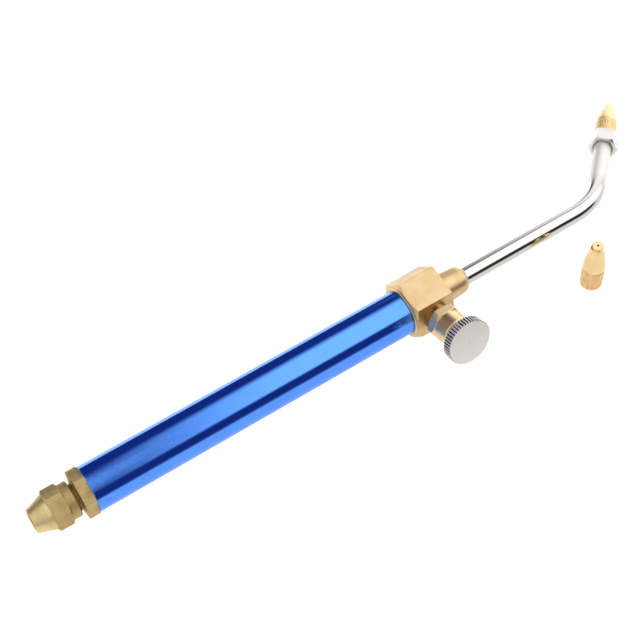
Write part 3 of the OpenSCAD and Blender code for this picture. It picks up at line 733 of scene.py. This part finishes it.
# the tube is two walls swept along a path whose one corner is rounded to the bend
tree = bpy.data.node_groups.new("bent_tube", "GeometryNodeTree")
tree.interface.new_socket("Geometry", in_out="OUTPUT", socket_type="NodeSocketGeometry")
tree.interface.new_socket("Path", in_out="INPUT", socket_type="NodeSocketGeometry")
for name in ("Bend Radius", "Outer Radius", "Inner Radius"):
    tree.interface.new_socket(name, in_out="INPUT", socket_type="NodeSocketFloat")
tree.interface.new_socket("Material", in_out="INPUT", socket_type="NodeSocketMaterial")
given = add_node(tree, "NodeGroupInput").outputs
path = add_node(tree, "GeometryNodeFilletCurve", {
    "Curve": given["Path"], "Count": 40, "Radius": given["Bend Radius"]}, mode="POLY")
outer_ring = add_node(tree, "GeometryNodeCurvePrimitiveCircle", {
    "Resolution": 72, "Radius": given["Outer Radius"]})
inner_ring = add_node(tree, "GeometryNodeCurvePrimitiveCircle", {
    "Resolution": 72, "Radius": given["Inner Radius"]})
outer = add_node(tree, "GeometryNodeCurveToMesh", {"Curve": path, "Profile Curve": outer_ring})
inner = add_node(tree, "GeometryNodeCurveToMesh", {"Curve": path, "Profile Curve": inner_ring})
inner = add_node(tree, "GeometryNodeFlipFaces", {0: inner})
both = add_node(tree, "GeometryNodeJoinGeometry", {0: outer})
tree.links.new(inner.outputs[0], both.inputs[0])
whole = add_node(tree, "GeometryNodeRealizeInstances", {0: both})
done = add_node(tree, "GeometryNodeSetMaterial", {"Geometry": whole, "Material": given["Material"]})
add_node(tree, "NodeGroupOutput", {0: done})

bend_reach = bend_r * math.tan(bend / 2)
corner = Vector((0, 0, bend_start + bend_reach))
upper_way = Vector((0, math.sin(bend), math.cos(bend)))
path_points = [Vector((0, 0, neck_rear)), corner, corner + upper_way * (bend_reach + neck_upper)]
line = bpy.data.curves.new("neck_path", "CURVE")
line.dimensions = "3D"
stretch = line.splines.new("POLY")
stretch.points.add(len(path_points) - 1)
for point, spot in zip(stretch.points, path_points):
    point.co = (*spot, 1)
carrier = bpy.data.objects.new("neck_carrier", line)
bpy.context.scene.collection.objects.link(carrier)
bent = carrier.modifiers.new("bent_tube", "NODES")
bent.node_group = tree
values = {"Bend Radius": bend_r, "Outer Radius": neck_r, "Inner Radius": neck_bore_r, "Material": chrome}
for socket in tree.interface.items_tree:
    if socket.name in values:
        bent[socket.identifier] = values[socket.name]
found = bpy.context.evaluated_depsgraph_get()
neck_mesh = bpy.data.meshes.new_from_object(carrier.evaluated_get(found), depsgraph=found)
bpy.data.objects.remove(carrier)

# the two walls are joined into a ring at each end of the tube
mesh = bmesh.new()
mesh.from_mesh(neck_mesh)
open_edges = [e for e in mesh.edges if e.is_boundary]
for end in (path_points[0], path_points[-1]):
    loops = [e for e in open_edges if (e.verts[0].co - end).length < 2 * neck_r]
    bmesh.ops.bridge_loops(mesh, edges=loops)
bmesh.ops.recalc_face_normals(mesh, faces=mesh.faces)
mesh.to_mesh(neck_mesh)
mesh.free()
neck_mesh.shade_smooth()
neck = bpy.data.objects.new("neck_tube", neck_mesh)
bpy.context.scene.collection.objects.link(neck)
fit(neck, handle_frame, "torch", "neck_chrome", chrome, "neck_tube")

# silver solder: pale and satin, with a slightly uneven flow line
silver = machined("silver_solder", handle_frame, "#cfcac0", "#8d877c", 0.2, 0.4, stain=0.6)
solder_r = neck_r + 0.02
solder_start = boss_end + 0.02
solder_end = boss_end + 0.8
solder = spin("neck_solder", [
    (solder_r, solder_start, 0), (3.85, solder_start, 0.1), (3.62, boss_end + 0.3, 0.2),
    (3.38, boss_end + 0.5, 0.2), (3.27, solder_end, 0.05), (solder_r, solder_end, 0)], step=0.1)
fit(solder, handle_frame, "torch", "solder", silver, "neck_solder")

# ---- Nozzle holder and gas jet ----
# A plated hexagon on the neck's end, its socket countersunk behind, with a thread for the nozzle.
# The jet is pressed into the thread's end.

neck_way = Vector(joints["nozzle_turn"]["axis"]).normalized()
holder_reach = 10
neck_frame = place(
    Vector(joints["nozzle_turn"]["pos_m"]) - neck_way * holder_reach * MM, neck_way,
    up_way.cross(neck_way))
# bright plate over bar brass: a pale mirror with a few lengthwise lines
holder_chrome = machined(
    "bright_bar_plating", neck_frame, "#cbc9ca", "#a09c98", 0.10, 0.20, bar=(0.3, 6.7), stain=0.35)
holder_hex = 9.7
holder_corner = 5.6
holder_low = 4.777
holder_len = 7.0
holder_drop = 0.475
socket_len = 4.23
nozzle_thread_r = 2.5
nozzle_thread_end = 13.2
nozzle_pitch = 0.8
jet_r = 1.3
jet_seat = 10.2
gas_way_r = 0.9
holder = spin("nozzle_holder", [
    (neck_socket_r, socket_len, 0), (neck_socket_r, 0.6, 0), (3.975, 0, 0.1), (holder_low, 0, 0, 1),
    (holder_corner, holder_drop, 0, 1), (holder_corner, holder_len - holder_drop, 0, 1),
    (holder_low, holder_len, 0, 1), (nozzle_thread_r, holder_len, 0),
    (nozzle_thread_r, nozzle_thread_end - 0.4, 0), (2.1, nozzle_thread_end, 0),
    (jet_r, nozzle_thread_end, 0), (jet_r, jet_seat, 0), (gas_way_r, jet_seat, 0),
    (gas_way_r, socket_len, 0)],
    across=holder_hex, turn=42, step=0.1)
run_tree(
    holder, notches, Notches_a_Turn=1.0, Notches_a_Millimetre=-1 / nozzle_pitch, Depth=0.38,
    Half_Width=notch_width, Low=holder_len + 0.4, High=nozzle_thread_end - 0.2, Least_Radius=2.2,
    Wander=0.0, Material=holder_chrome)
fit(holder, neck_frame, "torch", "holder_chrome", holder_chrome, "nozzle_holder")

# ---- Nozzles and sealing washer ----
# Two turned brass nozzles, one fitted over a soft copper washer and one standing on the bench.
# Each has a rough gripping band, a fine line above it and a grooved end round the flame hole.

nozzle_len = 20.3
nozzle_r = 4.0
band_top = nozzle_len * 0.44
thread_bore_r = 2.56
mixing_r = 1.1
flame_r = 0.4


def make_nozzle(name, end_r, paint):
    """A nozzle standing on its base. Two runs of slanting notches, left and right handed, cut the
    gripping band, and they come and go as a worn knurl does."""
    top = nozzle_len
    piece = spin(name, [
        (thread_bore_r, 0, 0.1), (nozzle_r - 0.65, 0, 0.15), (nozzle_r - 0.1, 0.6, 0.2),
        (nozzle_r - 0.02, 1.2, 0), (nozzle_r, band_top - 0.2, 0.05), (nozzle_r - 0.14, band_top, 0.05),
        (nozzle_r - 0.02, band_top + 0.2, 0.05), (nozzle_r - 0.1, band_top + 1.6, 0.8),
        (nozzle_r - 0.45, band_top + 4, 1.2), (end_r + (nozzle_r - end_r) * 0.42, top - 3.9, 1.0),
        (end_r + 0.14, top - 1.15, 0.15), (end_r - 0.28, top - 1.0, 0.05), (end_r - 0.28, top - 0.7, 0.05),
        (end_r - 0.04, top - 0.6, 0.06), (end_r - 0.04, top - 0.15, 0.06), (end_r - 0.2, top, 0.06),
        (flame_r, top, 0.05), (flame_r, top - 2.2, 0), (mixing_r, top - 2.2, 0), (mixing_r, 7.0, 0),
        (thread_bore_r, 7.0, 0)], around=216, step=0.22)
    for lead in (0.22, -0.22):
        run_tree(
            piece, notches, Notches_a_Turn=26.0, Notches_a_Millimetre=lead, Depth=0.13, Half_Width=0.45,
            Low=0.5, High=band_top - 0.15, Least_Radius=nozzle_r - 0.4, Wander=0.9, Material=paint)
    return piece


# nozzle brass: creamy where it is turned, deeper gold and streaky in the gripping band
nozzle_seat = 7.56
fitted_brass = machined(
    "turned_nozzle_brass", neck_frame, "#f2dcb0", "#d8a765", 0.42, 0.54,
    bar=(nozzle_seat + 0.4, nozzle_seat - 0.1 + band_top), stain=0.3, marks=0.04, aged=0.35)
fitted = make_nozzle("nozzle", 1.85, fitted_brass)
fitted_seat = neck_frame @ Matrix.Translation((0, 0, nozzle_seat))
fit(fitted, fitted_seat, "fitted_nozzle", "nozzle_brass", fitted_brass, "nozzle")
repaint("gas_jet", fitted_brass)
# annealed copper: soft pink brown, dulled by heat
copper = machined("annealed_copper", neck_frame, "#c98562", "#8a5238", 0.25, 0.4, stain=0.6)
repaint("nozzle_washer", copper)

spare_spot = Vector(mounts["spare_thread"]["pos_m"])
spare_frame = place(Vector((spare_spot.x, spare_spot.y, 0)), Vector((0, 0, 1)), Vector((0, 1, 0)))
spare_brass = machined(
    "turned_spare_brass", spare_frame, "#e6cc9c", "#c49450", 0.16, 0.30, bar=(0.4, band_top - 0.1),
    stain=0.3, aged=0.5)
spare = make_nozzle("spare_nozzle", 2.1, spare_brass)
fit(spare, spare_frame, "loose_nozzle", "nozzle_brass", spare_brass, "spare_nozzle")
